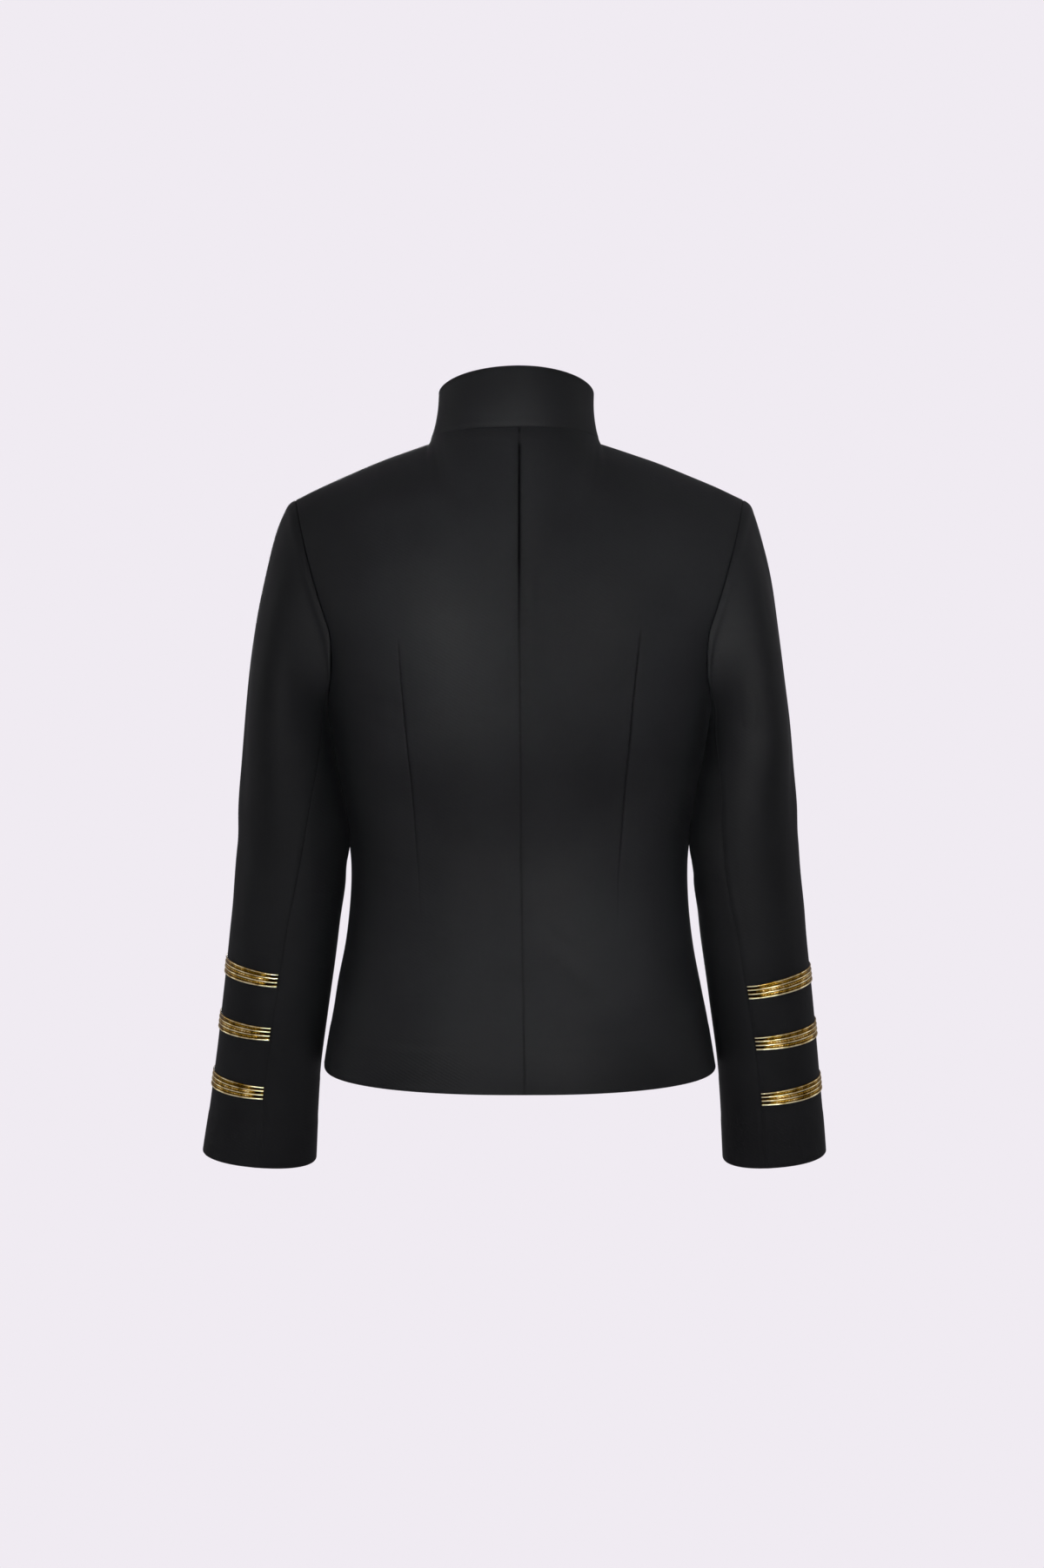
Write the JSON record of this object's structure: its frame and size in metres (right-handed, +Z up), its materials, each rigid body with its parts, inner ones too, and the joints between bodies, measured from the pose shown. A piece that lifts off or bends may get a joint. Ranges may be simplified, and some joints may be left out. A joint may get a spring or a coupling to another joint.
{
  "type": "parade jacket",
  "caption": "Fitted hip-length black military parade jacket with a stand collar and gilt braids around the lower sleeves, standing open and empty.",
  "frame": {"origin": "centre of the neck opening, at the height where the collar meets the shoulder seams", "axes": "+X towards the wearer's left, +Y towards the wearer's back (the side the picture shows), +Z up"},
  "size_m": [0.5616, 0.2576, 0.7067],
  "materials": {
    "black_cloth": "fine dark wool with a dry, soft face",
    "gilt_braid": "gilt wire braid with raised cords",
    "gilt_metal": "domed gilt metal"
  },
  "bodies": {
    "root": {"back_left": "black_cloth", "back_right": "black_cloth", "front_left": "black_cloth", "front_right": "black_cloth", "collar": "black_cloth", "sleeve_top_left": "black_cloth", "sleeve_top_right": "black_cloth", "sleeve_under_left": "black_cloth", "sleeve_under_right": "black_cloth", "braid_left_1": "gilt_braid", "braid_left_2": "gilt_braid", "braid_left_3": "gilt_braid", "braid_right_1": "gilt_braid", "braid_right_2": "gilt_braid", "braid_right_3": "gilt_braid", "button_1": "gilt_metal", "button_2": "gilt_metal", "button_3": "gilt_metal", "button_4": "gilt_metal", "button_5": "gilt_metal", "button_6": "gilt_metal"}
  },
  "joints": []
}
